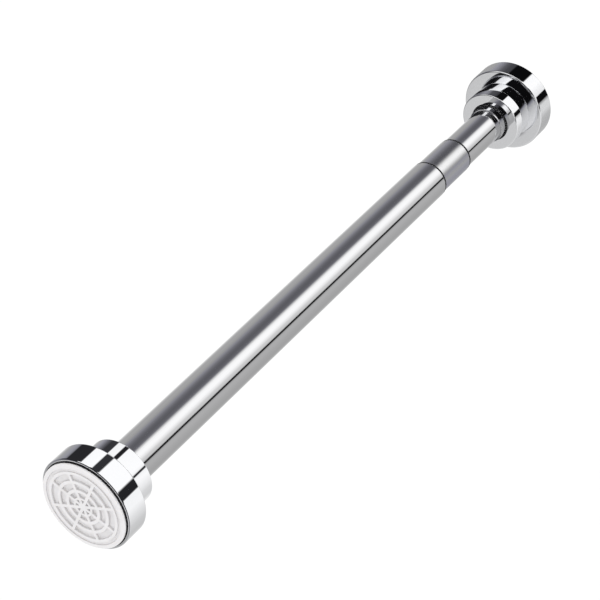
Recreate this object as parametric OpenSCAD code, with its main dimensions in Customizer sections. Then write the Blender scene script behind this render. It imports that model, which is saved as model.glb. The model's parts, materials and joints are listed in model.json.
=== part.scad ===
// Window security bar: a telescoping round bar that is braced across a window frame.
// +X runs along the bar, from the fixed foot to the adjusting foot. The origin is the
// centre of the fixed foot's grip face.

/* [Overall] */
// Length between the two grip faces with the bar fully closed
closed_length = 469.3; // [420:0.1:900]
// Diameter of the two end discs
disc_d = 56.4; // [54:0.1:72]
// Depth of each disc's metal shell
disc_depth = 14.3; // [13.5:0.1:20]
// How far each grip pad stands out of its disc
pad_proud = 2.4; // [1.8:0.1:3.2]

/* [Tubes] */
// Outside diameter of the outer tube
outer_d = 25; // [23:0.1:30]
// Wall thickness of both tubes
tube_wall = 0.7; // [0.5:0.05:1]
// Length of guide sleeve that shows past the mouth of the outer tube
sleeve_show = 34; // [20:0.5:60]
// Length of guide sleeve that is held inside the outer tube
sleeve_grip = 24; // [15:0.5:40]
// Length of inner tube that shows when the bar is closed
inner_show = 41.5; // [30:0.5:80]

/* [Heads] */
// Diameter of the collar on the fixed foot
collar_d = 39.4; // [38:0.1:43]
// Length of the collar on the fixed foot
collar_length = 16.7; // [10:0.1:30]
// Diameter of the adjusting knob
knob_d = 40.2; // [36:0.1:50]
// Length of the adjusting knob
knob_length = 8.7; // [8.7:0.1:16]
// Diameter of the skirt on the adjusting foot
skirt_d = 38.8; // [38:0.1:43]
// Length of the skirt on the adjusting foot
skirt_length = 9.2; // [8:0.1:16]
// Length of the neck between the inner tube and the knob
neck_length = 5.3; // [4.5:0.1:8]

/* [Screw and lock] */
// Outside diameter of the adjusting spindle
spindle_d = 12; // [10:0.1:14.4]
// How far the spindle can be screwed out
spindle_travel = 15; // [8:0.5:20]
// Eccentricity of the twist lock's cam
cam_offset = 0.8; // [0.6:0.05:1]

/* [Hidden] */
$fn = 96;

fixed_gap = 0.03;    // between pieces that are fixed together
running_gap = 0.05;  // between a shaft and its bore

// Foot: radii, and depths measured inwards from the grip face
disc_r = disc_d / 2;
cap_wall = 1.5;
cap_bore_r = disc_r - cap_wall;
pad_r = cap_bore_r - 0.4;
pad_base = pad_proud + 1.6;
plate_front = pad_base + fixed_gap;
plate_back = plate_front + 2.5;
cap_rim = pad_proud;
cap_back = cap_rim + disc_depth;
cap_floor = cap_back - 1.8;
flange_t = 1.95;
flange_back = cap_floor - fixed_gap;
flange_front = flange_back - flange_t;
neck_r = collar_d / 2 - 2.2;
flange_r = collar_d / 2 + 1.3;
throat_r = neck_r - 1.5;
plate_screw_circle = (throat_r + flange_r) / 2 + 0.4;
plate_screw_count = 3;
plate_screw_r = 1.5;
hub_r = 9;
stud_r = 1.8;
stud_circle = (hub_r + throat_r) / 2 + 0.4;

// Pivot in each foot
pivot_pocket_r = 6.6;
pivot_floor = plate_back + 1.9;
pivot_washer_r = 6.2;
pivot_washer_t = 0.7;
pivot_head_t = 3.1;
washer_back = pivot_floor - running_gap;
washer_front = washer_back - pivot_washer_t;
head_back = washer_front - fixed_gap;
near_screw_r = 3;
far_screw_r = 2.5;

// Tubes
outer_r = outer_d / 2;
outer_bore_r = outer_r - tube_wall;
sleeve_r = outer_bore_r - 0.02;
sleeve_wall = 0.73;
sleeve_bore_r = sleeve_r - sleeve_wall;
inner_r = sleeve_bore_r - running_gap;
inner_bore_r = inner_r - tube_wall;

// Places along the bar, at its closed length
collar_back = cap_back + collar_length;
near_hub_end = pivot_floor + 3;
tube_start = near_hub_end + running_gap + 1.6;
far_cap_face = closed_length - cap_back;
skirt_start = far_cap_face - skirt_length;
knob_start = skirt_start - knob_length;
neck_start = knob_start - neck_length;
sleeve_end = neck_start - inner_show;
tube_mouth = sleeve_end - sleeve_show;
sleeve_start = tube_mouth - sleeve_grip;

// Twist lock, at the inner end of the inner tube
lock_start = collar_back + 12;
lock_length = 17;
lock_end = lock_start + lock_length;
lock_gap = 0.2;
cam_shoulder = lock_end + lock_gap;
inner_start = cam_shoulder + 1.6;
cam_r = inner_bore_r - 2.3;
cam_clearance = 0.3;

// Adjusting head
spindle_r = spindle_d / 2;
flat_depth = 1.3;
journal_r = spindle_r + 2.4;
ferrule_r = inner_r + 1;
inner_end = neck_start + 2.8;
plug_flange_end = inner_end + 1;
ferrule_end = knob_start - fixed_gap;
thrust_washer_t = 0.6;
thrust_washer_r = ferrule_r - 0.2;
knob_recess = knob_start + thrust_washer_t + 0.05;
knob_floor = knob_recess + 2.1;
groove_start = knob_floor + 0.1;
groove_t = 0.8;
journal_end = groove_start + groove_t + 0.6;
nut_start = journal_end + 0.1;
nut_end = skirt_start - 0.1;
nut_flat_r = journal_r + 1.6;
plug_start = neck_start - 22;
spindle_start = plug_start - spindle_travel - 5;
far_hub_end = cap_back + 2.7;
spindle_shoulder = closed_length - far_hub_end - running_gap;
far_journal_r = spindle_r - 2;

// A solid or hollow round along the bar, from x0 to x1
module round_bar(x0, x1, r, bore = 0) {
    translate([x0, 0, 0]) rotate([0, 90, 0]) difference() {
        cylinder(h = x1 - x0, r = r);
        if (bore > 0) translate([0, 0, -1]) cylinder(h = x1 - x0 + 2, r = bore);
    }
}

// A lathe shape about the bar; each point is [radius, place along the bar]
module turned(points) {
    rotate([0, 90, 0]) rotate_extrude() polygon(points);
}

// Copies of a child spaced evenly about the bar at one radius
module around(count, radius, first = 0) {
    for (i = [0 : count - 1]) rotate([first + i * 360 / count, 0, 0]) translate([0, 0, radius]) children();
}

// The far foot is built like the near one, facing the other way
module facing_back() {
    translate([closed_length, 0, 0]) mirror([1, 0, 0]) children();
}

// ---- Pieces that both feet have ----

module pad_blank() {
    edge = 1.6;
    rotate([0, 90, 0]) rotate_extrude() {
        translate([0, edge]) square([pad_r, pad_base - edge]);
        square([pad_r - edge, edge + 0.01]);
        intersection() {
            translate([pad_r - edge, edge]) circle(edge);
            translate([pad_r - edge - 0.01, 0]) square([edge + 0.02, edge + 0.01]);
        }
    }
}

// Soft pad with eight spokes and rings between its pockets
module grip_pad() {
    s = pad_r / 26.3;
    pocket_depth = 2;
    first_spoke = 22.5;
    spoke_w = 1.8;
    pockets = [[2.5 * s, 4.6 * s], [6 * s, 9 * s], [11 * s, 14.5 * s], [16.5 * s, 20.3 * s]];
    difference() {
        pad_blank();
        difference() {
            for (p = pockets) round_bar(-1, pocket_depth, p[1], p[0]);
            for (i = [0 : 3]) rotate([first_spoke + i * 45, 0, 0]) translate([-2, -spoke_w / 2, -pad_r])
                cube([pocket_depth + 4, spoke_w, 2 * pad_r]);
        }
        round_bar(-1, 0.8, 23.9 * s, 21.9 * s);
    }
    around(4, stud_circle, 22.5) {
        round_bar(pad_base - 0.1, plate_back + 0.08, stud_r);
        round_bar(plate_back + 0.03, plate_back + 1.1, stud_r + 0.6);
    }
}

// Pressed shell of a foot's disc
module disc_cap() {
    front_bevel = 0.5;
    back_bevel = 1;
    turned([
        [neck_r + fixed_gap, cap_floor],
        [cap_bore_r, cap_floor],
        [cap_bore_r, cap_rim + 0.2],
        [cap_bore_r + 0.2, cap_rim],
        [disc_r - front_bevel, cap_rim],
        [disc_r, cap_rim + front_bevel],
        [disc_r, cap_back - back_bevel],
        [disc_r - 0.3 * back_bevel, cap_back - 0.3 * back_bevel],
        [disc_r - back_bevel, cap_back],
        [neck_r + fixed_gap, cap_back]
    ]);
}

// Shell of a head that is rolled over inside the disc; bore_r fits what passes through it
module head_shell(shell_r, length, bore_r) {
    wall = 1.5;
    end = cap_back + length;
    front = cap_back + fixed_gap;
    bevel = 0.5;
    difference() {
        turned([
            [throat_r, flange_front],
            [flange_r, flange_front],
            [flange_r, flange_back],
            [neck_r, flange_back],
            [neck_r, front],
            [shell_r, front],
            [shell_r, end - bevel],
            [shell_r - bevel, end],
            [bore_r, end],
            [bore_r, end - wall],
            [shell_r - wall, end - wall],
            [shell_r - wall, front + wall],
            [throat_r, front + wall]
        ]);
        around(plate_screw_count, plate_screw_circle)
            round_bar(flange_front - 1, flange_back + 0.01, plate_screw_r + fixed_gap);
    }
}

// Moulded plate that fills the disc behind the pad and carries the pivot
module backing_plate(hub_end, hub_bore_r) {
    rib_w = 1.6;
    rib_end = plate_back + 3.6;
    ring_end = flange_front - fixed_gap;
    ring_in = throat_r + 0.6;
    ring_out = flange_r - 0.2;
    rim_in = cap_bore_r - 3;
    difference() {
        union() {
            round_bar(plate_front, plate_back, cap_bore_r - fixed_gap);
            round_bar(plate_back - 0.01, flange_back, cap_bore_r - fixed_gap, rim_in);
            round_bar(plate_back - 0.01, ring_end, ring_out, ring_in);
            round_bar(plate_back - 0.01, hub_end, hub_r);
            for (i = [0 : 7]) rotate([i * 45, 0, 0])
                translate([plate_back - 0.01, -rib_w / 2, hub_r - 0.5])
                cube([rib_end - plate_back, rib_w, rim_in - hub_r + 1]);
        }
        round_bar(plate_front - 1, pivot_floor, pivot_pocket_r);
        round_bar(plate_front, hub_end + 1, hub_bore_r);
        around(4, stud_circle, 22.5) round_bar(plate_front - 1, plate_back + 1, stud_r + 0.05);
        around(plate_screw_count, plate_screw_circle) {
            round_bar(plate_front - 1, ring_end + 1, plate_screw_r + fixed_gap);
            round_bar(plate_front - 1, plate_front + 1.25, 2.9);
        }
    }
}

// Pan-head screws that hold the plate to the head's rolled flange
module plate_screws() {
    head_end = plate_front + 1.2;
    around(plate_screw_count, plate_screw_circle) difference() {
        union() {
            round_bar(plate_front + 0.02, head_end, 2.8);
            round_bar(head_end - 0.01, flange_back - 0.2, plate_screw_r);
        }
        for (a = [0, 90]) rotate([a, 0, 0]) translate([plate_front - 1, -0.3, -1.6]) cube([1.6, 0.6, 3.2]);
    }
}

module pivot_washer(bore_r) {
    round_bar(washer_front, washer_back, pivot_washer_r, bore_r);
}

// Pan-head pivot screw; its shank ends at tip
module pivot_screw(shank_r, tip) {
    head_r = shank_r + 2.2;
    head_front = head_back - pivot_head_t;
    difference() {
        turned([
            [0, head_front],
            [head_r - 0.8, head_front],
            [head_r, head_front + 0.8],
            [head_r, head_back],
            [shank_r, head_back],
            [shank_r, tip - 0.8],
            [shank_r - 0.8, tip],
            [0, tip]
        ]);
        for (a = [0, 90]) rotate([a, 0, 0]) translate([head_front - 1, -0.6, -2.6]) cube([2.8, 1.2, 5.2]);
    }
}

// ---- Near foot ----

module near_grip_pad() { color("WhiteSmoke") grip_pad(); }
module near_cap() { color("LightGray") disc_cap(); }
module near_collar() { color("LightGray") head_shell(collar_d / 2, collar_length, outer_r + running_gap); }
module near_backing_plate() { color("DimGray") backing_plate(near_hub_end, near_screw_r + running_gap); }
module near_plate_screws() { color("Silver") plate_screws(); }
module near_pivot_washer() { color("Silver") pivot_washer(near_screw_r + running_gap); }

// ---- Outer bar ----

near_screw_tip = tube_start + 18;

module near_pivot_screw() { color("Silver") pivot_screw(near_screw_r, near_screw_tip); }

// Plug that closes the outer tube and takes the pivot screw
module near_tube_plug() {
    color("Gainsboro") difference() {
        union() {
            round_bar(near_hub_end + running_gap, tube_start - 0.02, outer_r);
            round_bar(tube_start - 0.03, tube_start + 22, outer_bore_r - 0.02);
        }
        round_bar(near_hub_end - 1, near_screw_tip + 1, near_screw_r + 0.02);
    }
}

module outer_tube() {
    color("Silver") turned([
        [outer_bore_r, tube_start],
        [outer_r, tube_start],
        [outer_r, tube_mouth - 0.25],
        [outer_r - 0.25, tube_mouth],
        [outer_bore_r, tube_mouth]
    ]);
}

// Sleeve that guides the inner tube in the mouth of the outer tube
module guide_sleeve() {
    color("DarkGray") turned([
        [sleeve_bore_r, sleeve_start],
        [sleeve_r, sleeve_start],
        [sleeve_r, sleeve_end - 1.2],
        [sleeve_r - 0.4, sleeve_end],
        [sleeve_bore_r, sleeve_end]
    ]);
}

// ---- Twist lock ----

// Split ring that the cam spreads against the bore of the outer tube
module lock_ring() {
    slot_w = 2;
    color("WhiteSmoke") difference() {
        round_bar(lock_start, lock_end, outer_bore_r - running_gap);
        translate([0, 0, cam_offset]) round_bar(lock_start - 1, lock_end + 1, cam_r + cam_clearance);
        translate([lock_start - 1, -slot_w / 2, 0]) cube([lock_length + 2, slot_w, outer_r]);
    }
}

lock_screw_r = 2;
lock_screw_tip = lock_start + 14;

// Cam pressed into the inner tube; its round nose is off the bar's centre line
module lock_cam() {
    color("DimGray") difference() {
        union() {
            round_bar(inner_start - 0.02, inner_start + 16, inner_bore_r - 0.02);
            round_bar(cam_shoulder, inner_start - 0.01, inner_r);
            translate([0, 0, cam_offset]) round_bar(lock_start - lock_gap, cam_shoulder + 0.01, cam_r);
        }
        round_bar(lock_start - 1, lock_screw_tip + 1, lock_screw_r + 0.02);
    }
}

lock_washer_t = 1.1;

module lock_washer() {
    color("Silver") translate([lock_start - lock_gap - lock_washer_t - 0.02, 0, 0])
        round_bar(0, lock_washer_t, inner_bore_r, lock_screw_r + 0.03);
}

module lock_screw() {
    head_back = lock_start - lock_gap - lock_washer_t - 0.04;
    color("Silver") difference() {
        union() {
            round_bar(head_back - 2.6, head_back, 3.8);
            round_bar(head_back - 0.01, lock_screw_tip, lock_screw_r);
        }
        for (a = [0, 90]) rotate([a, 0, 0]) translate([head_back - 3.6, -0.5, -2.2]) cube([2.6, 1, 4.4]);
    }
}

// ---- Inner bar ----

module inner_tube() {
    color("Silver") round_bar(inner_start, inner_end, inner_r, inner_bore_r);
}

// The spindle's round section with one flat along it
module flatted_bar(x0, x1, r, flat) {
    difference() {
        round_bar(x0, x1, r);
        translate([x0 - 1, -r - 1, flat]) cube([x1 - x0 + 2, 2 * r + 2, r]);
    }
}

// Plug in the end of the inner tube: keeps the spindle from turning and carries the knob
module end_plug() {
    color("WhiteSmoke") difference() {
        union() {
            round_bar(plug_start, inner_end + 0.02, inner_bore_r - 0.02);
            round_bar(inner_end + 0.02, plug_flange_end, inner_r);
            round_bar(plug_flange_end - 0.01, journal_end, journal_r);
        }
        round_bar(groove_start, groove_start + groove_t, journal_r + 1, journal_r - 1);
        flatted_bar(plug_start - 1, journal_end + 1, spindle_r + running_gap,
            spindle_r - flat_depth + running_gap);
    }
}

module neck_ferrule() {
    bevel = 0.3;
    color("LightGray") turned([
        [inner_r + 0.02, neck_start],
        [ferrule_r - bevel, neck_start],
        [ferrule_r, neck_start + bevel],
        [ferrule_r, ferrule_end],
        [journal_r + 0.1, ferrule_end],
        [journal_r + 0.1, plug_flange_end + 0.02],
        [inner_r + 0.02, plug_flange_end + 0.02]
    ]);
}

module thrust_washer() {
    color("Gainsboro") round_bar(knob_start, knob_start + thrust_washer_t, thrust_washer_r, journal_r + 0.03);
}

// Open ring that sits in the plug's groove and keeps the knob on
module knob_snap_ring() {
    gap_w = 5;
    color("Silver") difference() {
        round_bar(groove_start + 0.03, groove_start + groove_t - 0.03, journal_r + 1.4, journal_r - 0.97);
        translate([groove_start - 1, -gap_w / 2, 0]) cube([3, gap_w, journal_r + 3]);
    }
}

// ---- Adjusting head ----

module adjuster_knob() {
    front_bevel = 0.6;
    knob_r = knob_d / 2;
    back_bevel = 0.4;
    cavity_r = nut_flat_r / cos(30) + 0.4;
    color("LightGray") difference() {
        turned([
            [journal_r + running_gap, knob_recess],
            [thrust_washer_r + 0.1, knob_recess],
            [thrust_washer_r + 0.1, knob_start],
            [knob_r - front_bevel, knob_start],
            [knob_r, knob_start + front_bevel],
            [knob_r, skirt_start - back_bevel],
            [knob_r - back_bevel, skirt_start],
            [0, skirt_start],
            [0, knob_floor],
            [journal_r + running_gap, knob_floor]
        ]);
        round_bar(knob_floor, nut_start - 0.03, cavity_r);
        translate([nut_start - 0.04, 0, 0]) rotate([0, 90, 0])
            cylinder(h = knob_length, r = (nut_flat_r + fixed_gap) / cos(30), $fn = 6);
    }
}

module adjuster_nut() {
    color("Goldenrod") difference() {
        translate([nut_start, 0, 0]) rotate([0, 90, 0])
            cylinder(h = nut_end - nut_start, r = nut_flat_r / cos(30), $fn = 6);
        round_bar(nut_start - 1, nut_end + 1, spindle_r + running_gap);
    }
}

// ---- Spindle ----

clip_start = spindle_start + 1.5;
clip_t = 0.9;
clip_groove_r = spindle_r - 1.6;
far_screw_depth = 16;

// Threaded spindle with a flat, a groove for its clip and a journal for the foot
module spindle() {
    journal_tip = closed_length - pivot_floor - fixed_gap;
    color("Silver") difference() {
        union() {
            flatted_bar(spindle_start, spindle_shoulder, spindle_r, spindle_r - flat_depth);
            round_bar(spindle_shoulder - 0.01, journal_tip, far_journal_r);
        }
        round_bar(clip_start, clip_start + clip_t, spindle_r + 1, clip_groove_r);
        round_bar(journal_tip - far_screw_depth - 1, journal_tip + 1, far_screw_r + 0.02);
    }
}

module spindle_stop_clip() {
    gap_w = 4;
    color("DimGray") difference() {
        round_bar(clip_start + 0.03, clip_start + clip_t - 0.03, spindle_r + 2, clip_groove_r + 0.03);
        translate([clip_start - 1, -gap_w / 2, -spindle_r - 3]) cube([3, gap_w, spindle_r + 3]);
    }
}

module far_pivot_screw() {
    color("Silver") facing_back() pivot_screw(far_screw_r, pivot_floor + far_screw_depth);
}

module far_pivot_washer() { color("Silver") facing_back() pivot_washer(far_screw_r + 0.03); }

// ---- Far foot ----

module far_grip_pad() { color("WhiteSmoke") facing_back() grip_pad(); }
module far_cap() { color("LightGray") facing_back() disc_cap(); }

// The skirt stops just short of the knob
module far_skirt() {
    color("LightGray") facing_back()
        head_shell(skirt_d / 2, skirt_length - running_gap, spindle_r + 0.4);
}

module far_backing_plate() {
    color("DimGray") facing_back() backing_plate(far_hub_end, far_journal_r + running_gap);
}

module far_plate_screws() { color("Silver") facing_back() plate_screws(); }

near_grip_pad();
near_cap();
near_collar();
near_backing_plate();
near_plate_screws();
near_pivot_washer();
near_pivot_screw();
near_tube_plug();
outer_tube();
guide_sleeve();
lock_ring();
lock_cam();
lock_washer();
lock_screw();
inner_tube();
end_plug();
neck_ferrule();
thrust_washer();
knob_snap_ring();
adjuster_knob();
adjuster_nut();
spindle();
spindle_stop_clip();
far_pivot_screw();
far_pivot_washer();
far_grip_pad();
far_cap();
far_skirt();
far_backing_plate();
far_plate_screws();
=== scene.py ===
import bpy
import bmesh
import json
import math
from mathutils import Matrix, Vector

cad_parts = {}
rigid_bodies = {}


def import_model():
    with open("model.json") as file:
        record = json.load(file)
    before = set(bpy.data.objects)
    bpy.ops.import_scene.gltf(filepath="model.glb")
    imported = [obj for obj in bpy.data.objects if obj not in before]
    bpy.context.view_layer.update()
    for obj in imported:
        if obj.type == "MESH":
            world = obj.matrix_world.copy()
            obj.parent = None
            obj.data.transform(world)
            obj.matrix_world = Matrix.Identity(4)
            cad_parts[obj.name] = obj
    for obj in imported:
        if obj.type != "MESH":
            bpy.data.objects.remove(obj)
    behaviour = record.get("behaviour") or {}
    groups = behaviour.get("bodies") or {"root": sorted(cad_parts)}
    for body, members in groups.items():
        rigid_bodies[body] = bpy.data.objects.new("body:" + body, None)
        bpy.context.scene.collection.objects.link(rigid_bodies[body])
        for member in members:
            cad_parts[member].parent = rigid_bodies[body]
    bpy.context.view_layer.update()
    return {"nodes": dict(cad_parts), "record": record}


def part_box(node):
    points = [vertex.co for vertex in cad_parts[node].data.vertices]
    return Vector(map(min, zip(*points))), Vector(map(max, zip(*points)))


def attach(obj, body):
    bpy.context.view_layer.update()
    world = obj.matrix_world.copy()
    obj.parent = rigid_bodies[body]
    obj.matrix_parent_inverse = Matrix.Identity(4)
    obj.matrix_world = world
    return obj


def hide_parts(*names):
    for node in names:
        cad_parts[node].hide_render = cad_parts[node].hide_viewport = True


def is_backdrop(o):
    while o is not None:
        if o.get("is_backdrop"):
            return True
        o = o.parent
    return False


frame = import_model()
nodes = frame["nodes"]
mm = 0.001
hair = 0.01 * mm  # the smallest gap between two surfaces
mergeDistance = 0.002 * mm
print("frame loaded:", len(nodes), "nodes")


def boxOf(nodeName):
    low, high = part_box(nodeName)
    return low.x, high.x, high.y


def roundCorners(outline, steps=5):
    # each corner is (x, radius from the axis, rounding)
    rounded = []
    count = len(outline)
    for index, (x, r, rounding) in enumerate(outline):
        corner = Vector((x, r))
        if rounding <= 0:
            rounded.append(corner)
            continue
        before = Vector(outline[index - 1][:2])
        after = Vector(outline[(index + 1) % count][:2])
        toBefore = (before - corner).normalized()
        toAfter = (after - corner).normalized()
        half = toBefore.angle(toAfter) / 2
        longest = 0.49 * min((before - corner).length, (after - corner).length)  # just under half an edge
        reach = min(rounding / math.tan(half), longest)
        radius = reach * math.tan(half)
        centre = corner + (toBefore + toAfter).normalized() * (radius / math.sin(half))
        first = (corner + toBefore * reach - centre).normalized()
        last = (corner + toAfter * reach - centre).normalized()
        for step in range(steps + 1):
            rounded.append(centre + first.slerp(last, step / steps).normalized() * radius)
    return rounded


def finishObject(name, bm, body, nodeName, material, smooth=True):
    bmesh.ops.remove_doubles(bm, verts=bm.verts, dist=mergeDistance)
    bmesh.ops.recalc_face_normals(bm, faces=bm.faces)
    mesh = bpy.data.meshes.new(name)
    bm.to_mesh(mesh)
    bm.free()
    for polygon in mesh.polygons:
        polygon.use_smooth = smooth
    piece = bpy.data.objects.new(name, mesh)
    bpy.context.scene.collection.objects.link(piece)
    mesh.materials.append(material)
    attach(piece, body)
    if nodeName:
        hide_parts(nodeName)
    return piece


def evenShading(piece):
    # keeps flat faces flat next to their small rounded edges
    modifier = piece.modifiers.new("evenShading", "WEIGHTED_NORMAL")
    modifier.mode = "FACE_AREA"
    modifier.weight = 100
    modifier.keep_sharp = True


def spinOutline(points, segments, closed=True):
    # an outline that isn't closed ends on the axis
    bm = bmesh.new()
    verts = [bm.verts.new((x, 0, r)) for x, r in points]
    following = verts[1:] + verts[:1] if closed else verts[1:]
    edges = [bm.edges.new(pair) for pair in zip(verts, following)]
    bmesh.ops.spin(bm, geom=verts + edges, cent=(0, 0, 0), axis=(1, 0, 0), angle=2 * math.pi,
                   steps=segments, use_merge=True)
    return bm


def turnedPiece(name, outline, body, nodeName, material, segments):
    bm = spinOutline(roundCorners(outline), segments)
    piece = finishObject(name, bm, body, nodeName, material)
    evenShading(piece)
    return piece


def newGroup(name, inputs, outputs):
    group = bpy.data.node_groups.new(name, "ShaderNodeTree")
    for socketName, kind, value in inputs:
        socket = group.interface.new_socket(socketName, in_out="INPUT", socket_type=kind)
        if value is not None:
            socket.default_value = value
    for socketName, kind in outputs:
        group.interface.new_socket(socketName, in_out="OUTPUT", socket_type=kind)
    return group, group.nodes.new("NodeGroupInput"), group.nodes.new("NodeGroupOutput")


def mathNode(tree, operation, first, second=None, third=None):
    node = tree.nodes.new("ShaderNodeMath")
    node.operation = operation
    for index, value in enumerate((first, second, third)):
        if value is None:
            continue
        if isinstance(value, (int, float)):
            node.inputs[index].default_value = value
        else:
            tree.links.new(value, node.inputs[index])
    return node.outputs[0]


def noiseNode(tree, vector, scale, detail=3.0, roughness=0.55):
    node = tree.nodes.new("ShaderNodeTexNoise")
    node.inputs["Scale"].default_value = scale
    node.inputs["Detail"].default_value = detail
    node.inputs["Roughness"].default_value = roughness
    tree.links.new(vector, node.inputs["Vector"])
    return node.outputs["Fac"]


def stretchNode(tree, vector, scale):
    node = tree.nodes.new("ShaderNodeMapping")
    node.inputs["Scale"].default_value = scale
    tree.links.new(vector, node.inputs["Vector"])
    return node.outputs["Vector"]


def rangeNode(tree, value, fromLow, fromHigh, toLow, toHigh):
    node = tree.nodes.new("ShaderNodeMapRange")
    for index, number in enumerate((fromLow, fromHigh, toLow, toHigh)):
        node.inputs[index + 1].default_value = number
    tree.links.new(value, node.inputs[0])
    return node.outputs[0]


def mixColour(tree, factor, first, second):
    node = tree.nodes.new("ShaderNodeMix")
    node.data_type = "RGBA"
    tree.links.new(factor, node.inputs["Factor"])
    for socketName, value in (("A", first), ("B", second)):
        socket = [s for s in node.inputs if s.name == socketName and s.type == "RGBA"][0]
        if isinstance(value, (tuple, list)):
            socket.default_value = value
        else:
            tree.links.new(value, socket)
    return [s for s in node.outputs if s.type == "RGBA"][0]


def makeGrainGroup():
    # fine polishing lines: high frequency across, low frequency along the grain
    group, source, sink = newGroup(
        "polishingGrain",
        [("Vector", "NodeSocketVector", None), ("Low", "NodeSocketFloat", 0.05),
         ("High", "NodeSocketFloat", 0.12)],
        [("Roughness", "NodeSocketFloat"), ("Height", "NodeSocketFloat"), ("Tone", "NodeSocketFloat")])
    fine = noiseNode(group, source.outputs["Vector"], 1.0, 4.0, 0.6)
    spread = mathNode(group, "SUBTRACT", source.outputs["High"], source.outputs["Low"])
    contrast = rangeNode(group, fine, 0.3, 0.7, 0.0, 1.0)
    rough = mathNode(group, "MULTIPLY_ADD", contrast, spread, source.outputs["Low"])
    group.links.new(rough, sink.inputs["Roughness"])
    group.links.new(fine, sink.inputs["Height"])
    group.links.new(contrast, sink.inputs["Tone"])
    return group


def makeMarksGroup():
    # faint handling marks and dust: broad soft patches with a few small specks
    group, source, sink = newGroup(
        "handlingMarks",
        [("Vector", "NodeSocketVector", None), ("Patch Scale", "NodeSocketFloat", 60.0),
         ("Speck Scale", "NodeSocketFloat", 900.0)],
        [("Patches", "NodeSocketFloat"), ("Specks", "NodeSocketFloat")])
    patch = group.nodes.new("ShaderNodeTexNoise")
    patch.inputs["Detail"].default_value = 4.0
    group.links.new(source.outputs["Vector"], patch.inputs["Vector"])
    group.links.new(source.outputs["Patch Scale"], patch.inputs["Scale"])
    speck = group.nodes.new("ShaderNodeTexVoronoi")
    group.links.new(source.outputs["Vector"], speck.inputs["Vector"])
    group.links.new(source.outputs["Speck Scale"], speck.inputs["Scale"])
    patches = rangeNode(group, patch.outputs["Fac"], 0.35, 0.7, 0.0, 1.0)
    specks = rangeNode(group, speck.outputs["Distance"], 0.0, 0.16, 1.0, 0.0)
    group.links.new(patches, sink.inputs["Patches"])
    group.links.new(specks, sink.inputs["Specks"])
    return group


polishingGrain = makeGrainGroup()
handlingMarks = makeMarksGroup()


def startMaterial(name):
    material = bpy.data.materials.new(name)
    material.use_nodes = True
    tree = material.node_tree
    shader = tree.nodes["Principled BSDF"]
    place = tree.nodes.new("ShaderNodeTexCoord").outputs["Object"]
    return material, tree, shader, place


def placeGroup(tree, group, vector, **values):
    node = tree.nodes.new("ShaderNodeGroup")
    node.node_tree = group
    tree.links.new(vector, node.inputs["Vector"])
    for socketName, value in values.items():
        node.inputs[socketName.replace("_", " ")].default_value = value
    return node


def addBump(tree, shader, height, strength, distance):
    bump = tree.nodes.new("ShaderNodeBump")
    bump.inputs["Strength"].default_value = strength
    bump.inputs["Distance"].default_value = distance
    tree.links.new(height, bump.inputs["Height"])
    tree.links.new(bump.outputs["Normal"], shader.inputs["Normal"])


surface = {"grainDepth": 0.02 * mm, "grainTone": 0.5, "skinDepth": 0.1 * mm,
           "softReach": (4.0 * mm, 3.8 * mm, 3.5 * mm), "softScale": 0.5}


def metalFinish(name, look):
    material, tree, shader, place = startMaterial(name)
    shader.inputs["Metallic"].default_value = 1.0
    grain = placeGroup(tree, polishingGrain, stretchNode(tree, place, look["grain"]),
                       Low=look["smooth"], High=look["rough"])
    marks = placeGroup(tree, handlingMarks, place, Patch_Scale=look["patchScale"])
    smudge = mathNode(tree, "MULTIPLY_ADD", marks.outputs["Patches"], look["smudge"],
                      grain.outputs["Roughness"])
    tree.links.new(smudge, shader.inputs["Roughness"])
    tone = mathNode(tree, "MULTIPLY", grain.outputs["Tone"], surface["grainTone"])
    tree.links.new(mixColour(tree, tone, look["colour"], look["shade"]), shader.inputs["Base Color"])
    addBump(tree, shader, grain.outputs["Height"], look["bump"], surface["grainDepth"])
    return material


def paintRecessShade(tree, place, colour, look):
    # painted shade: the upright walls of the pockets, inside the outer rim, are coloured grey for the shade in
    # the recesses
    apart = tree.nodes.new("ShaderNodeSeparateXYZ")
    tree.links.new(place, apart.inputs[0])
    squares = [mathNode(tree, "POWER", apart.outputs[axis], 2.0) for axis in ("Y", "Z")]
    across = mathNode(tree, "SQRT", mathNode(tree, "ADD", *squares))
    rimStart = look["recessRadius"]
    inside = rangeNode(tree, across, rimStart, rimStart + look["recessFade"], 1.0, 0.0)
    facing = tree.nodes.new("ShaderNodeSeparateXYZ")
    tree.links.new(tree.nodes.new("ShaderNodeNewGeometry").outputs["Normal"], facing.inputs[0])
    level = mathNode(tree, "ABSOLUTE", facing.outputs["X"])
    wallShade = rangeNode(tree, level, *look["recessSlope"], look["recess"], 0.0)
    return mixColour(tree, mathNode(tree, "MULTIPLY", inside, wallShade), colour, look["recessShadeColour"])


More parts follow.
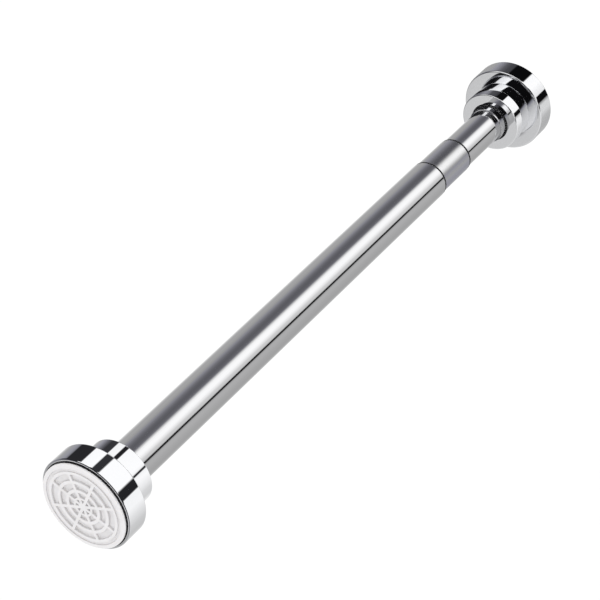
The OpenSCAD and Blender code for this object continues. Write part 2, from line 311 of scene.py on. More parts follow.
def mouldedFinish(name, look):
    material, tree, shader, place = startMaterial(name)
    marks = placeGroup(tree, handlingMarks, place, Patch_Scale=look["patchScale"],
                       Speck_Scale=look["speckScale"])
    skin = noiseNode(tree, place, look["skinScale"], 5.0, 0.6)
    colour = mixColour(tree, marks.outputs["Patches"], look["colour"], look["shade"])
    specks = mathNode(tree, "MULTIPLY", marks.outputs["Specks"], look["specks"])
    dustAndShade = mixColour(tree, specks, colour, look["speckColour"])
    # painted shade on the pockets' walls goes over the dust specks
    if look.get("recess"):
        dustAndShade = paintRecessShade(tree, place, dustAndShade, look)
    tree.links.new(dustAndShade, shader.inputs["Base Color"])
    roughness = rangeNode(tree, skin, 0.3, 0.7, look["smooth"], look["rough"])
    tree.links.new(roughness, shader.inputs["Roughness"])
    addBump(tree, shader, skin, look["bump"], surface["skinDepth"])
    if look.get("gloss"):
        shader.inputs["Specular IOR Level"].default_value = look["gloss"]
    if look.get("soft"):
        shader.inputs["Subsurface Weight"].default_value = look["soft"]
        shader.inputs["Subsurface Radius"].default_value = surface["softReach"]
        shader.inputs["Subsurface Scale"].default_value = surface["softScale"]
    return material


chromeLook = {"colour": (0.93, 0.935, 0.95, 1), "shade": (0.9, 0.905, 0.92, 1), "grain": (900, 900, 900),
              "smooth": 0.012, "rough": 0.03, "patchScale": 70.0, "smudge": 0.012, "bump": 0.02}
tubeLook = {"colour": (0.9, 0.9, 0.91, 1), "shade": (0.86, 0.86, 0.875, 1), "grain": (60, 5000, 5000),
            "smooth": 0.05, "rough": 0.09, "patchScale": 40.0, "smudge": 0.02, "bump": 0.05}
sleeveLook = {"colour": (0.88, 0.88, 0.885, 1), "shade": (0.82, 0.82, 0.83, 1), "grain": (6000, 500, 500),
              "smooth": 0.12, "rough": 0.2, "patchScale": 60.0, "smudge": 0.02, "bump": 0.08}
zincLook = {"colour": (0.62, 0.63, 0.66, 1), "shade": (0.5, 0.51, 0.54, 1), "grain": (1500, 1500, 1500),
            "smooth": 0.22, "rough": 0.38, "patchScale": 200.0, "smudge": 0.05, "bump": 0.15}
brassLook = {"colour": (0.83, 0.6, 0.26, 1), "shade": (0.7, 0.47, 0.18, 1), "grain": (1200, 4000, 4000),
             "smooth": 0.18, "rough": 0.3, "patchScale": 150.0, "smudge": 0.06, "bump": 0.12}
# the pad's recess keys paint grey shade onto the pockets' upright walls
padLook = {"colour": (0.849, 0.835, 0.843, 1), "shade": (0.807, 0.794, 0.801, 1),
           "speckColour": (0.6, 0.59, 0.57, 1), "specks": 0.25, "smooth": 0.42, "rough": 0.6,
           "patchScale": 120.0, "speckScale": 1400.0, "skinScale": 2600.0, "bump": 0.12, "soft": 0.2,
           "recess": 0.6, "recessRadius": 24.5 * mm, "recessFade": 0.4 * mm, "recessSlope": (0.1, 0.95),
           "recessShadeColour": (0.5, 0.49, 0.49, 1)}
nylonLook = {"colour": (0.8, 0.79, 0.75, 1), "shade": (0.74, 0.725, 0.68, 1),
             "speckColour": (0.6, 0.58, 0.52, 1), "specks": 0.2, "smooth": 0.35, "rough": 0.5,
             "patchScale": 90.0, "speckScale": 1500.0, "skinScale": 1800.0, "bump": 0.08, "soft": 0.15}
mouldingLook = {"colour": (0.012, 0.012, 0.014, 1), "shade": (0.02, 0.02, 0.022, 1),
                "speckColour": (0.06, 0.06, 0.06, 1), "specks": 0.2, "gloss": 0.2, "smooth": 0.4,
                "rough": 0.62, "patchScale": 80.0, "speckScale": 1200.0, "skinScale": 2200.0, "bump": 0.2}

chromePlate = metalFinish("chromePlate", chromeLook)
polishedTube = metalFinish("polishedTube", tubeLook)
satinSleeve = metalFinish("satinSleeve", sleeveLook)
zincSteel = metalFinish("zincSteel", zincLook)
turnedBrass = metalFinish("turnedBrass", brassLook)
whitePad = mouldedFinish("whitePad", padLook)
naturalNylon = mouldedFinish("naturalNylon", nylonLook)
blackMoulding = mouldedFinish("blackMoulding", mouldingLook)

slotFinish = {"chrome_plate": chromePlate, "polished_tube": polishedTube, "satin_sleeve": satinSleeve,
              "zinc_steel": zincSteel, "brass": turnedBrass, "white_pad": whitePad, "nylon": naturalNylon,
              "black_moulding": blackMoulding}
slotOfNode = {part["node"]: part["material_slot"] for part in frame["record"]["subparts"]}
for nodeName, node in nodes.items():
    for materialSlot in node.material_slots:
        materialSlot.material = slotFinish[slotOfNode[nodeName]]
print("finishes made:", len(slotFinish))


# discs, collar, skirt and tubes
disc = {"wall": 1.5 * mm, "floor": 1.8 * mm, "bore": 17.53 * mm, "lip": 0.85 * mm, "innerLip": 0.3 * mm,
        "floorEdge": 0.5 * mm, "backEdge": 0.9 * mm, "segments": 256}


def makeDisc(name, body, nodeName, facing):
    # facing is 1 when the open side looks along -X, and -1 when it looks along +X
    low, high, radius = boxOf(nodeName)
    front, back = (low, high) if facing > 0 else (high, low)
    floor = back - facing * disc["floor"]
    inside = radius - disc["wall"]
    outline = [(floor, disc["bore"], 0), (floor, inside, disc["floorEdge"]), (front, inside, disc["innerLip"]),
               (front, radius, disc["lip"]), (back, radius, disc["backEdge"]), (back, disc["bore"], 0)]
    turnedPiece(name, outline, body, nodeName, chromePlate, disc["segments"])


head = {"wall": 1.5 * mm, "flange": 21.0 * mm, "flangeThickness": 1.95 * mm, "flangeEdge": 0.2 * mm,
        "throat": 16.0 * mm, "neck": 17.5 * mm, "behindDisc": 3.81 * mm, "rootEdge": 0.25 * mm,
        "boreEdge": 0.15 * mm, "innerEdge": 0.8 * mm, "segments": 224,
        "collar": {"radius": 19.7 * mm, "bore": 12.55 * mm, "edge": 0.5 * mm},
        "skirt": {"radius": 19.4 * mm, "bore": 6.4 * mm, "edge": 0.7 * mm},
        "screws": 3, "screwCircle": 18.9 * mm, "screwHole": 1.53 * mm, "screwSides": 32}


def cutAway(piece, cutter):
    # takes the cutter's shape out of the piece for good
    tool = bpy.data.objects.new("cutter", bpy.data.meshes.new("cutter"))
    cutter.to_mesh(tool.data)
    cutter.free()
    bpy.context.scene.collection.objects.link(tool)
    modifier = piece.modifiers.new("cut", "BOOLEAN")
    modifier.operation = "DIFFERENCE"
    modifier.solver = "EXACT"
    modifier.object = tool
    later = [other for other in piece.modifiers if other != modifier]
    for other in later:
        other.show_viewport = False
    mesh = bpy.data.meshes.new_from_object(piece.evaluated_get(bpy.context.evaluated_depsgraph_get()))
    for other in later:
        other.show_viewport = True
    piece.modifiers.remove(modifier)
    piece.data = mesh
    bpy.data.objects.remove(tool)


def layAlongBar(bm, verts):
    bmesh.ops.rotate(bm, verts=verts, cent=(0, 0, 0), matrix=Matrix.Rotation(math.pi / 2, 3, "Y"))


def roundRod(bm, fromX, toX, radius, segments, y=0.0, z=0.0):
    made = bmesh.ops.create_cone(bm, cap_ends=True, segments=segments, radius1=radius, radius2=radius,
                                 depth=toX - fromX)["verts"]
    layAlongBar(bm, made)
    bmesh.ops.translate(bm, verts=made, vec=((fromX + toX) / 2, y, z))


def makeHeadShell(name, body, nodeName, sizes, facing):
    # rolled inside the disc at one end, with the bar or spindle through the other
    low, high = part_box(nodeName)
    inner, outer = (low.x, high.x) if facing > 0 else (high.x, low.x)
    flangeBack = inner + facing * head["flangeThickness"]
    step = inner + facing * head["behindDisc"]
    wall = facing * head["wall"]
    radius, bore = sizes["radius"], sizes["bore"]
    inside = radius - head["wall"]
    outline = [(inner, head["throat"], 0), (inner, head["flange"], head["flangeEdge"]),
               (flangeBack, head["flange"], head["flangeEdge"]), (flangeBack, head["neck"], 0),
               (step, head["neck"], 0), (step, radius, head["rootEdge"]), (outer, radius, sizes["edge"]),
               (outer, bore, head["boreEdge"]), (outer - wall, bore, 0),
               (outer - wall, inside, head["innerEdge"]), (step + wall, inside, 0),
               (step + wall, head["throat"], 0)]
    piece = turnedPiece(name, outline, body, nodeName, chromePlate, head["segments"])
    holes = bmesh.new()
    fromX, toX = sorted((inner - 2 * wall, flangeBack + facing * hair))
    for index in range(head["screws"]):
        angle = index * 2 * math.pi / head["screws"]
        roundRod(holes, fromX, toX, head["screwHole"], head["screwSides"],
                 -head["screwCircle"] * math.sin(angle), head["screwCircle"] * math.cos(angle))
    cutAway(piece, holes)


makeDisc("near_disc_shell", "near_foot", "near_cap", 1)
makeDisc("far_disc_shell", "far_foot", "far_cap", -1)
makeHeadShell("near_collar_shell", "near_foot", "near_collar", head["collar"], 1)
makeHeadShell("far_skirt_shell", "far_foot", "far_skirt", head["skirt"], -1)
print("discs and heads made")

tubes = {"wall": 0.7 * mm, "outerEdge": 0.22 * mm, "innerEdge": 0.05 * mm, "boreEdge": 0.1 * mm,
         "sleeveBore": 11.05 * mm, "sleeveRound": 0.35 * mm, "ringWidth": 1.5 * mm,
         "ringEdge": 0.15 * mm, "ringFoot": 0.02 * mm, "mouthRing": 12.36 * mm, "sleeveRing": 11.6 * mm,
         "segments": 192, "ringSegments": 160}


def makeTube(name, body, nodeName, endEdge):
    low, high, radius = boxOf(nodeName)
    bore = radius - tubes["wall"]
    outline = [(low, bore, 0), (low, radius, 0), (high, radius, endEdge), (high, bore, tubes["boreEdge"])]
    turnedPiece(name, outline, body, nodeName, polishedTube, tubes["segments"])


def makeRing(name, body, fromX, toX, bore, radius):
    outline = [(fromX, bore, 0), (fromX, radius, tubes["ringFoot"]), (toX, radius, tubes["ringEdge"]),
               (toX, bore, tubes["ringFoot"])]
    turnedPiece(name, outline, body, None, blackMoulding, tubes["ringSegments"])


makeTube("outer_tube_skin", "outer_bar", "outer_tube", tubes["outerEdge"])
makeTube("inner_tube_skin", "inner_bar", "inner_tube", tubes["innerEdge"])

sleeveLow, sleeveHigh, sleeveRadius = boxOf("guide_sleeve")
sleeveEnd = sleeveHigh - tubes["ringWidth"]
turnedPiece("guide_sleeve_skin",
            [(sleeveLow, tubes["sleeveBore"], 0), (sleeveLow, sleeveRadius, 0),
             (sleeveEnd, sleeveRadius, tubes["sleeveRound"]), (sleeveEnd, tubes["sleeveBore"], 0)],
            "outer_bar", "guide_sleeve", satinSleeve, tubes["segments"])
mouth = boxOf("outer_tube")[1]
# painted shade: a thin black ring at the tube's mouth, round the sleeve, stands in for the shadow line in that
# gap
makeRing("tube_mouth_shade_ring", "outer_bar", mouth + hair, mouth + tubes["ringWidth"],
         sleeveRadius + hair, tubes["mouthRing"])
makeRing("sleeve_end_ring", "outer_bar", sleeveEnd + hair, sleeveHigh, tubes["sleeveBore"],
         tubes["sleeveRing"])
print("tubes made")


# the adjusting head: knob, the black ring in its groove, the neck ferrule and the spindle
knob = {"bore": 8.45 * mm, "recess": 0.65 * mm, "washerBore": 11.9 * mm, "rearEdge": 0.75 * mm,
        "frontEdge": 0.4 * mm, "floor": 2.75 * mm, "cavity": 11.95 * mm, "cavitySides": 96,
        "hexFlat": 10.03 * mm, "hexStart": 4.31 * mm, "hexPast": 1.0 * mm, "segments": 224,
        "shadeRingIn": 12.0 * mm, "shadeRingOut": 13.1 * mm, "shadeRingDepth": 1.1 * mm, "shadeRingSunk": 0.12 * mm,
        "shadeRingInEdge": 0.05 * mm, "shadeRingOutEdge": 0.12 * mm, "shadeRingRound": 0.1 * mm, "shadeRingSegments": 160}
knobLow, knobHigh, knobRadius = boxOf("adjuster_knob")
knobRecess = knobLow + knob["recess"]
shadeRingFloor = knobLow + knob["shadeRingDepth"]
hexLow = knobLow + knob["hexStart"]
knobPiece = turnedPiece(
    "adjuster_knob_shell",
    [(knobRecess, knob["bore"], 0), (knobRecess, knob["washerBore"], 0),
     (knobLow, knob["washerBore"], knob["shadeRingInEdge"]), (knobLow, knob["shadeRingIn"], knob["shadeRingInEdge"]),
     (shadeRingFloor, knob["shadeRingIn"], 0), (shadeRingFloor, knob["shadeRingOut"], 0),
     (knobLow, knob["shadeRingOut"], knob["shadeRingOutEdge"]), (knobLow, knobRadius, knob["rearEdge"]),
     (knobHigh, knobRadius, knob["frontEdge"]), (knobHigh, knob["bore"], 0)],
    "adjuster", "adjuster_knob", chromePlate, knob["segments"])
cavity = bmesh.new()
roundRod(cavity, knobLow + knob["floor"], hexLow + hair, knob["cavity"], knob["cavitySides"])
cutAway(knobPiece, cavity)
cavity = bmesh.new()
roundRod(cavity, hexLow, knobHigh + knob["hexPast"], knob["hexFlat"] / math.cos(math.pi / 6), 6)
cutAway(knobPiece, cavity)
# painted shade: a black ring sunk in the groove round the knob's rear face stands in for the shade in that gap
shadeRingFront, shadeRingBack = knobLow + knob["shadeRingSunk"], shadeRingFloor - 2 * hair
shadeRingIn, shadeRingOut = knob["shadeRingIn"] + 2 * hair, knob["shadeRingOut"] - 2 * hair
turnedPiece("knob_shade_ring",
            [(shadeRingFront, shadeRingIn, knob["shadeRingRound"]), (shadeRingFront, shadeRingOut, knob["shadeRingRound"]),
             (shadeRingBack, shadeRingOut, 0), (shadeRingBack, shadeRingIn, 0)],
            "adjuster", None, blackMoulding, knob["shadeRingSegments"])

ferrule = {"bore": 11.02 * mm, "boreEdge": 0.1 * mm, "edge": 0.35 * mm, "rearEdge": 0.05 * mm,
           "step": 1.45 * mm, "journal": 8.5 * mm, "segments": 192}
ferruleLow, ferruleHigh, ferruleRadius = boxOf("neck_ferrule")
ferruleStep = ferruleHigh - ferrule["step"]
turnedPiece("neck_ferrule_shell",
            [(ferruleLow, ferrule["bore"], ferrule["boreEdge"]), (ferruleLow, ferruleRadius, ferrule["edge"]),
             (ferruleHigh, ferruleRadius, ferrule["rearEdge"]), (ferruleHigh, ferrule["journal"], 0),
             (ferruleStep, ferrule["journal"], 0), (ferruleStep, ferrule["bore"], 0)],
            "inner_bar", "neck_ferrule", chromePlate, ferrule["segments"])

screw = {"pitch": 1.5 * mm, "profile": (0, 0, 0.5, 1, 1, 0.5), "depth": 0.5 * mm, "runout": 0.3 * mm,
         "seam": 0.001, "flatDepth": 1.3 * mm, "flatShort": 1.0 * mm, "chamfer": 0.3 * mm,
         "journal": 4.0 * mm, "shoulder": 10.99 * mm, "bore": 2.52 * mm, "boreDepth": 17 * mm,
         "clipFrom": 1.5 * mm, "clipTo": 2.4 * mm, "clipGroove": 4.4 * mm, "segments": 72}


def makeSpindle():
    low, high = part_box("spindle")
    radius = high.y
    shoulder = high.x - screw["shoulder"]
    clipFrom, clipTo = low.x + screw["clipFrom"], low.x + screw["clipTo"]
    boreEnd = high.x - screw["boreDepth"]
    rowGap = screw["pitch"] / len(screw["profile"])
    threadLow = clipTo + screw["runout"]
    rowCount = int((shoulder - screw["runout"] - screw["pitch"] - threadLow) / rowGap)
    rows = [threadLow + rowGap * index for index in range(rowCount)]
    outline = [(low.x, 0), (low.x, radius - screw["chamfer"]), (low.x + screw["chamfer"], radius),
               (clipFrom, radius), (clipFrom, screw["clipGroove"]), (clipTo, screw["clipGroove"]),
               (clipTo, radius)]
    outline += [(x, radius) for x in rows]
    outline += [(shoulder, radius), (shoulder, screw["journal"]), (high.x, screw["journal"]),
                (high.x, screw["bore"]), (boreEnd, screw["bore"]), (boreEnd, 0)]
    bm = spinOutline(outline, screw["segments"], closed=False)
    for vert in bm.verts:
        row = round((vert.co.x - threadLow) / rowGap)
        reach = math.hypot(vert.co.y, vert.co.z)
        if 0 <= row < rowCount and reach > radius - hair and abs(vert.co.x - rows[row]) < hair:
            # left-handed, with the step between a turn's two ends hidden where the flat is cut
            turn = ((math.atan2(vert.co.z, vert.co.y) - math.pi / 2) / (2 * math.pi) - screw["seam"]) % 1.0
            cut = 0.0 if row in (0, rowCount - 1) else screw["profile"][row % len(screw["profile"])]
            scale = (radius - cut * screw["depth"]) / reach
            vert.co = (vert.co.x + screw["pitch"] * (1 - turn), vert.co.y * scale, vert.co.z * scale)
    piece = finishObject("spindle_threaded", bm, "screw_spindle", "spindle", zincSteel,
                         smooth=False)
    flat = bmesh.new()
    bmesh.ops.create_cube(flat, size=1.0)
    bmesh.ops.scale(flat, verts=flat.verts, vec=(high.x - low.x, 4 * radius, 2 * screw["flatDepth"]))
    bmesh.ops.translate(flat, verts=flat.verts, vec=((low.x + high.x) / 2 - screw["flatShort"], 0, radius))
    cutAway(piece, flat)


makeSpindle()
print("adjusting head made")


pad = {"radius": 26.3 * mm, "base": 4.0 * mm, "rim": 1.5 * mm, "faceRadius": 21.7 * mm,
       "rows": [(2.5, 4.6), (6.0, 9.0), (11.0, 14.5), (16.5, 20.3)], "sectors": 8, "first": 22.5,
       "depth": 1.5, "spoke": 0.9 * mm, "spokeMost": 22.3, "arcPoints": 12,
       "grooveIn": 22.1 * mm, "grooveOut": 23.8 * mm, "grooveDepth": 0.8 * mm, "grooveEdge": 0.25 * mm,
       "sideDepth": 1.75 * mm, "sideEdge": 0.1 * mm, "neckRadius": 25.6 * mm,
       "gasketOut": 26.66 * mm, "gasketEdge": 0.2 * mm,
       "studs": 4, "studFirst": 22.5, "studCircle": 12.9 * mm, "studRadius": 1.8 * mm,
       "studHead": 2.4 * mm, "studFrom": 3.95 * mm, "studTo": 6.65 * mm, "studHeadFrom": 6.6 * mm,
       "studHeadTo": 7.6 * mm, "studSides": 32, "segments": 192, "roundSteps": 8}
# widening and depth of a pocket's outline in mm, from its rounded mouth to its floor
pocketSteps = [(0.34, 0.0), (0.2, 0.03), (0.1, 0.1), (0.03, 0.2), (0.0, 0.34), (-0.08, pad["depth"] - 0.35),
               (-0.16, pad["depth"] - 0.13), (-0.34, pad["depth"])]
halfSector = 180 / pad["sectors"]


def pocketLoop(bm, inner, outer, middle, spread, depth):
    # one outline of a pocket: two arcs whose ends keep the spokes at one width
    side = pad["spoke"] - spread
    points = []
    for radius, way in ((inner - spread, 1), (outer + spread, -1)):
        half = math.radians(halfSector) - min(math.asin(side / radius), math.radians(pad["spokeMost"]))
        for index in range(pad["arcPoints"]):
            angle = middle + way * half * (2 * index / (pad["arcPoints"] - 1) - 1)
            points.append((depth, radius * math.cos(angle), radius * math.sin(angle)))
    verts = [bm.verts.new(point) for point in points]
    return [bm.edges.new((verts[i - 1], verts[i])) for i in range(len(verts))]


def addPockets(bm):
    # the pockets' walls and floors; gives back the edges round their mouths
    mouths = []
    for row in pad["rows"]:
        for sector in range(pad["sectors"]):
            middle = math.radians(pad["first"] + 2 * halfSector * sector + halfSector)
            loops = [pocketLoop(bm, row[0] * mm, row[1] * mm, middle, spread * mm, depth * mm)
                     for spread, depth in pocketSteps]
            for first, second in zip(loops, loops[1:]):
                bmesh.ops.bridge_loops(bm, edges=first + second)
            bmesh.ops.contextual_create(bm, geom=loops[-1])
            mouths += loops[0]
    return mouths


def addPadBody(bm):
    # the groove, rim, side and back, turned round the axis
    edge = pad["grooveEdge"]
    profile = [(0.0, pad["faceRadius"], 0), (0.0, pad["grooveIn"], edge),
               (pad["grooveDepth"], pad["grooveIn"], edge), (pad["grooveDepth"], pad["grooveOut"], edge),
               (0.0, pad["grooveOut"], edge), (0.0, pad["radius"], pad["rim"]),
               (pad["sideDepth"], pad["radius"], pad["sideEdge"]), (pad["sideDepth"], pad["neckRadius"], 0),
               (pad["base"], pad["neckRadius"], 0), (pad["base"], 0.0, 0)]
    outer = spinOutline(roundCorners(profile, pad["roundSteps"]), pad["segments"], closed=False)
    side = bpy.data.meshes.new("side")
    outer.to_mesh(side)
    outer.free()
    bm.from_mesh(side)
    bpy.data.meshes.remove(side)


def makePad(name, body, nodeName, facing, place):
    bm = bmesh.new()
    faceEdges = addPockets(bm)
    rim = bmesh.ops.create_circle(bm, segments=pad["segments"], radius=pad["faceRadius"])["verts"]
    layAlongBar(bm, rim)
    faceEdges += list({edge for vert in rim for edge in vert.link_edges})
    bmesh.ops.triangle_fill(bm, use_beauty=True, edges=faceEdges, normal=(1, 0, 0))
    addPadBody(bm)
    for index in range(pad["studs"]):
        angle = math.radians(pad["studFirst"] + 360 / pad["studs"] * index)
        y, z = -pad["studCircle"] * math.sin(angle), pad["studCircle"] * math.cos(angle)
        roundRod(bm, pad["studFrom"], pad["studTo"], pad["studRadius"], pad["studSides"], y, z)
        roundRod(bm, pad["studHeadFrom"], pad["studHeadTo"], pad["studHead"], pad["studSides"], y, z)
    if facing < 0:
        bmesh.ops.scale(bm, verts=bm.verts, vec=(-1, 1, 1))
    bmesh.ops.translate(bm, verts=bm.verts, vec=(place, 0, 0))
    piece = finishObject(name, bm, body, nodeName, whitePad)
    evenShading(piece)
    # painted shade: a black ring round the pad's neck, inside the disc's lip, stands in for the shadow in the
    # gap between pad and lip
    front = place + facing * (pad["sideDepth"] + 2 * hair)
    back = place + facing * pad["base"]
    bore = pad["neckRadius"] + 2 * hair
    turnedPiece(name.replace("face", "gasket"),
                [(front, bore, 0), (front, pad["gasketOut"], pad["gasketEdge"]),
                 (back, pad["gasketOut"], 0), (back, bore, 0)],
                body, None, blackMoulding, pad["segments"])


makePad("near_pad_face", "near_foot", "near_grip_pad", 1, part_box("near_grip_pad")[0].x)
makePad("far_pad_face", "far_foot", "far_grip_pad", -1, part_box("far_grip_pad")[1].x)
print("grip pads made")


# camera, floor and light
view = {"place": (-0.5816, -0.506, 0.7178), "forward": (0.6678, 0.4294, -0.6080), "lens": 122.3, "sensor": 36.0}


def makeCamera():
    camera = bpy.data.cameras.new("camera")
    camera.lens = view["lens"]
    camera.sensor_width = view["sensor"]
    camera.clip_start = 0.01
    camera.clip_end = 100
    holder = bpy.data.objects.new("camera", camera)
    holder.location = view["place"]
    holder.rotation_euler = Vector(view["forward"]).to_track_quat("-Z", "Y").to_euler()
    bpy.context.scene.collection.objects.link(holder)
    bpy.context.scene.camera = holder


studio = {"floorDrop": 0.9, "floorHalf": 30.0, "floorColour": (0.97, 0.97, 0.97, 1),
          "floorShade": (0.98, 0.98, 0.98, 1), "floorPatches": 3.0, "ambient": 1.06,
          "tentRadius": 1.2, "tentStep": 0.05, "tentHalf": 6.0, "tentSides": 96,
          "givenBack": 0.9, "darkBelow": 0.6, "darkBlue": 1.12}


def makeFloor():
    bm = bmesh.new()
    bmesh.ops.create_grid(bm, x_segments=1, y_segments=1, size=studio["floorHalf"])
    bmesh.ops.translate(bm, verts=bm.verts, vec=(0, 0, -studio["floorDrop"]))
    mesh = bpy.data.meshes.new("floor")
    bm.to_mesh(mesh)
    bm.free()
    floor = bpy.data.objects.new("floor", mesh)
    bpy.context.scene.collection.objects.link(floor)
    material, tree, shader, place = startMaterial("paleFloor")
    shader.inputs["Roughness"].default_value = 1.0
    shader.inputs["Specular IOR Level"].default_value = 0.0
    tone = noiseNode(tree, place, studio["floorPatches"])
    pale = mixColour(tree, tone, studio["floorColour"], studio["floorShade"])
    tree.links.new(pale, shader.inputs["Base Color"])
    mesh.materials.append(material)
    floor.visible_glossy = False
    floor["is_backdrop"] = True


def makeAmbient():
    # even light for what the camera and matt surfaces see; mirror reflections see only the tents
    world = bpy.data.worlds.new("studio")
    world.use_nodes = True
    tree = world.node_tree
    even = tree.nodes["Background"]
    even.inputs["Color"].default_value = (1, 1, 1, 1)
    even.inputs["Strength"].default_value = studio["ambient"]
    dark = tree.nodes.new("ShaderNodeBackground")
    dark.inputs["Strength"].default_value = 0.0
    path = tree.nodes.new("ShaderNodeLightPath")
    either = tree.nodes.new("ShaderNodeMixShader")
    tree.links.new(path.outputs["Is Glossy Ray"], either.inputs[0])
    tree.links.new(even.outputs[0], either.inputs[1])
    tree.links.new(dark.outputs[0], either.inputs[2])
    tree.links.new(either.outputs[0], tree.nodes["World Output"].inputs["Surface"])
    bpy.context.scene.world = world


def toLight(level):
    # a seen brightness from 0 to 1 as light, by the usual display curve, with the dark parts a little cool
    light = ((level + 0.055) / 1.055) ** 2.4 / studio["givenBack"]
    blue = studio["darkBlue"] if level < studio["darkBelow"] else 1.0
    return (light, light, light * blue, 1)


def stripeRamp(tree, share, stops):
    ramp = tree.nodes.new("ShaderNodeValToRGB")
    tree.links.new(share, ramp.inputs[0])
    while len(ramp.color_ramp.elements) > 1:
        ramp.color_ramp.elements.remove(ramp.color_ramp.elements[0])
    for index, (degrees, level) in enumerate(stops):
        elements = ramp.color_ramp.elements
        element = elements[0] if index == 0 else elements.new(degrees / 360)
        element.position = degrees / 360
        element.color = toLight(level)
    return ramp.outputs["Color"]


def makeTent(name, stops, receivers, middle=0.0, zones=()):
    # a wide tube of light round the bar for a few pieces' reflections: its brightness changes round it,
    # and a zone (from, to, stops) along it, in radii from the middle, follows other stops
    madeBefore = len([other for other in bpy.data.objects if other.name.endswith("Tent")])
    radius = studio["tentRadius"] + studio["tentStep"] * madeBefore
    bm = bmesh.new()
    bmesh.ops.create_cone(bm, segments=studio["tentSides"], radius1=radius, radius2=radius,
                          depth=2 * studio["tentHalf"], cap_ends=False)
    layAlongBar(bm, bm.verts)
    mesh = bpy.data.meshes.new(name)
    bm.to_mesh(mesh)
    bm.free()
    tent = bpy.data.objects.new(name, mesh)
    bpy.context.scene.collection.objects.link(tent)
    material = bpy.data.materials.new(name)
    material.use_nodes = True
    material.cycles.emission_sampling = "NONE"
    tree = material.node_tree
    tree.nodes.clear()
    place = tree.nodes.new("ShaderNodeTexCoord").outputs["Object"]
    apart = tree.nodes.new("ShaderNodeSeparateXYZ")
    tree.links.new(place, apart.inputs[0])
    turn = mathNode(tree, "ARCTAN2", apart.outputs["Z"], apart.outputs["Y"])
    share = mathNode(tree, "FRACT", mathNode(tree, "MULTIPLY_ADD", turn, 1 / (2 * math.pi), 1.0))
    along = mathNode(tree, "MULTIPLY_ADD", apart.outputs["X"], 1 / radius, -middle / radius)
    light = stripeRamp(tree, share, stops)
    for zoneFrom, zoneTo, zoneStops in zones:
        inZone = mathNode(tree, "COMPARE", along, (zoneFrom + zoneTo) / 2, (zoneTo - zoneFrom) / 2)
        light = mixColour(tree, inZone, light, stripeRamp(tree, share, zoneStops))
    glow = tree.nodes.new("ShaderNodeEmission")
    tree.links.new(light, glow.inputs["Color"])
    clear = tree.nodes.new("ShaderNodeBsdfTransparent")
    both = tree.nodes.new("ShaderNodeAddShader")
    tree.links.new(glow.outputs[0], both.inputs[0])
    tree.links.new(clear.outputs[0], both.inputs[1])
    output = tree.nodes.new("ShaderNodeOutputMaterial")
    tree.links.new(both.outputs[0], output.inputs["Surface"])
    mesh.materials.append(material)
    tent.visible_camera = False
    tent.visible_diffuse = False
    tent.visible_shadow = False
    tent.visible_transmission = False
    tent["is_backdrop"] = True
    group = bpy.data.collections.new(name + "Receivers")
    for piece in receivers:
        group.objects.link(piece)
    tent.light_linking.receiver_collection = group


# angle round the bar from +Y (behind) through 90 (overhead) and 180 (camera side), and seen brightness
nearDiscStripes = [
    (0, 0.57), (8, 0.49), (12, 0.15), (49, 0.15), (50.5, 0.97), (77, 0.98), (78.5, 0.19), (95, 0.18),
    (96.5, 0.98), (151, 0.98), (154, 0.14), (174, 0.13), (175.5, 0.945), (200, 0.95), (220, 0.87),
    (244, 0.78), (268, 0.745), (285, 0.79), (300, 0.84), (320, 0.82), (340, 0.62), (359, 0.57)]
collarStripes = [
    (0, 0.57), (8, 0.5), (20, 0.36), (32, 0.2), (53, 0.2), (55, 0.95), (77, 0.96), (78.5, 0.13), (91, 0.12),
    (92.5, 0.97), (150, 0.98), (160, 0.94), (162.5, 0.15), (168, 0.15), (169.5, 0.94), (183, 0.97), (208, 0.91),
    (231, 0.82), (256, 0.79), (280, 0.88), (310, 0.85), (340, 0.64), (359, 0.58)]
tubeStripes = [
    (0, 0.635), (14, 0.64), (32, 0.6), (44, 0.53), (56, 0.44), (68, 0.375), (80, 0.35), (93, 0.38), (99, 0.46),
    (106, 0.78), (113, 0.95), (124, 0.985), (135, 0.98), (147, 0.9), (155, 0.81), (168.4, 0.76), (170, 0.06),
    (178.4, 0.06), (181, 0.6), (186, 0.675), (200, 0.675), (219, 0.65), (244, 0.63), (262, 0.64),
    (280, 0.71), (300, 0.82), (325, 0.85), (344, 0.7), (359, 0.64)]
sleeveStripes = [
    (0, 0.61), (20, 0.58), (38, 0.5), (50, 0.43), (62, 0.365), (80, 0.325), (88, 0.35), (93, 0.43), (99, 0.6),
    (105, 0.77), (111, 0.905), (120, 0.97), (135, 0.975), (147, 0.875), (159, 0.69), (165, 0.6), (172, 0.55),
    (183, 0.58), (200, 0.62), (219, 0.595), (237, 0.57), (262, 0.59), (280, 0.67), (300, 0.76), (320, 0.8),
    (344, 0.7), (359, 0.62)]
knobStripes = [
    (0, 0.4), (20, 0.545), (34, 0.48), (44, 0.3), (62, 0.26), (70, 0.2), (73, 0.05), (100, 0.05), (102, 0.97),
    (140, 0.98), (162, 0.96), (164, 0.05), (178, 0.06), (180, 0.7), (190, 0.92), (208, 0.89), (226, 0.79),
    (244, 0.775), (274, 0.8), (305, 0.81), (320, 0.62), (344, 0.33), (359, 0.39)]
skirtStripes = [
    (0, 0.045), (20, 0.13), (24, 0.88), (56, 0.98), (62, 0.97), (64, 0.05), (168, 0.04), (171, 0.2),
    (178, 0.53), (189, 0.68), (207, 0.765), (232, 0.815), (256, 0.835), (274, 0.82), (300, 0.78),
    (320, 0.15), (344, 0.08), (359, 0.04)]
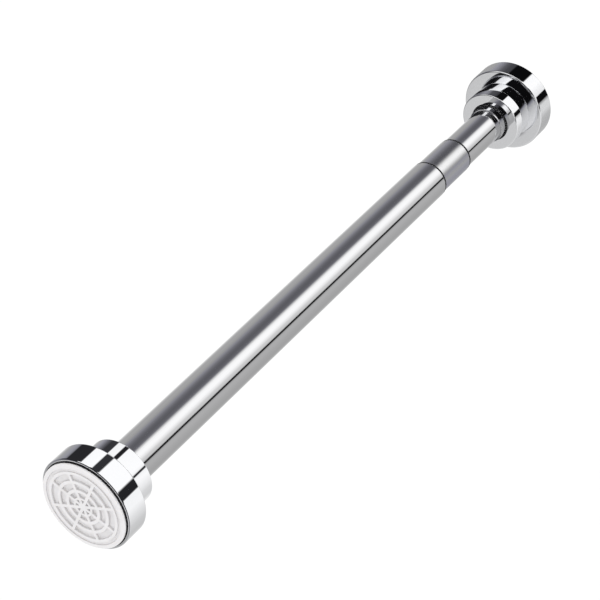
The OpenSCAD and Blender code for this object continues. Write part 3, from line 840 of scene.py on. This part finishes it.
farDiscStripes = [
    (0, 0.61), (13, 0.575), (25, 0.49), (37, 0.35), (50, 0.265), (60, 0.25), (64, 0.045), (108, 0.04),
    (110.5, 0.97), (135, 0.985), (153, 0.92), (161.5, 0.9), (163, 0.05), (180, 0.05), (183, 0.6),
    (190, 0.82), (207, 0.82), (226, 0.7), (250, 0.67), (275, 0.69), (300, 0.75), (320, 0.63), (359, 0.61)]
ferruleStripes = [
    (0, 0.12), (42, 0.12), (48, 0.35), (51, 0.95), (66, 0.95), (69, 0.3), (90, 0.22), (100, 0.06), (156, 0.05),
    (165, 0.5), (180, 0.6), (250, 0.62), (300, 0.3), (359, 0.12)]
ferruleMirror = [
    (0, 0.12), (42, 0.12), (48, 0.35), (51, 0.95), (66, 0.95), (69, 0.3), (90, 0.22), (100, 0.06), (156, 0.05),
    (165, 0.5), (180, 0.6), (240, 0.62), (270, 0.72), (292, 0.765), (318, 0.765), (322, 0.3), (330, 0.12),
    (359, 0.12)]
skirtMirror = [
    (0, 0.045), (20, 0.13), (24, 0.88), (56, 0.98), (62, 0.97), (64, 0.05), (168, 0.04), (171, 0.2),
    (178, 0.53), (189, 0.68), (207, 0.76), (232, 0.8), (256, 0.8), (274, 0.78), (292, 0.76), (314, 0.75),
    (321, 0.3), (344, 0.08), (359, 0.04)]
brightEnd = [
    (0, 0.3), (25, 0.3), (35, 0.93), (128, 0.97), (131, 0.12), (150, 0.1), (152, 0.95), (175, 0.93), (180, 0.3),
    (188, 0.3), (192, 0.9), (230, 0.85), (270, 0.82), (305, 0.83), (330, 0.7), (359, 0.3)]
darkEnd = [
    (0, 0.3), (20, 0.12), (125, 0.1), (210, 0.14), (235, 0.45), (270, 0.6), (305, 0.64), (340, 0.5), (359, 0.3)]
softSurround = [(0, 0.7), (60, 0.85), (120, 0.98), (180, 0.95), (240, 0.8), (300, 0.7), (359, 0.7)]


makeCamera()
makeFloor()
makeAmbient()
headMiddle = knobLow
zone = {"end": -9.0, "edgeFrom": -1.05, "edgeTo": -0.2, "darkTo": -0.3}  # in tent radii from the middle
edgeLight = (zone["edgeFrom"], zone["edgeTo"], brightEnd)
stripes = [
    ("nearDiscTent", nearDiscStripes, ["near_disc_shell"], 0.0, [(zone["end"], zone["darkTo"], darkEnd)]),
    ("collarTent", collarStripes, ["near_collar_shell"], 0.0, []),
    ("tubeTent", tubeStripes, ["outer_tube_skin", "inner_tube_skin"], 0.0, []),
    ("sleeveTent", sleeveStripes, ["guide_sleeve_skin"], 0.0, []),
    ("ferruleTent", ferruleStripes, ["neck_ferrule_shell"], headMiddle, []),
    ("knobTent", knobStripes, ["adjuster_knob_shell"], headMiddle,
     [edgeLight, (zone["end"], zone["edgeFrom"], ferruleMirror)]),
    ("skirtTent", skirtStripes, ["far_skirt_shell"], headMiddle, []),
    ("farDiscTent", farDiscStripes, ["far_disc_shell"], headMiddle,
     [edgeLight, (zone["end"], zone["edgeFrom"], skirtMirror)])]
striped = set()
for tentName, stops, pieceNames, middle, zones in stripes:
    makeTent(tentName, stops, [bpy.data.objects[name] for name in pieceNames], middle, zones)
    striped.update(pieceNames)
others = [piece for piece in bpy.context.scene.objects
          if piece.type == "MESH" and piece.name not in striped
          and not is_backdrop(piece) and not piece.hide_render]
makeTent("softTent", softSurround, others)
bpy.context.scene.view_settings.view_transform = "Standard"
print("stage made")
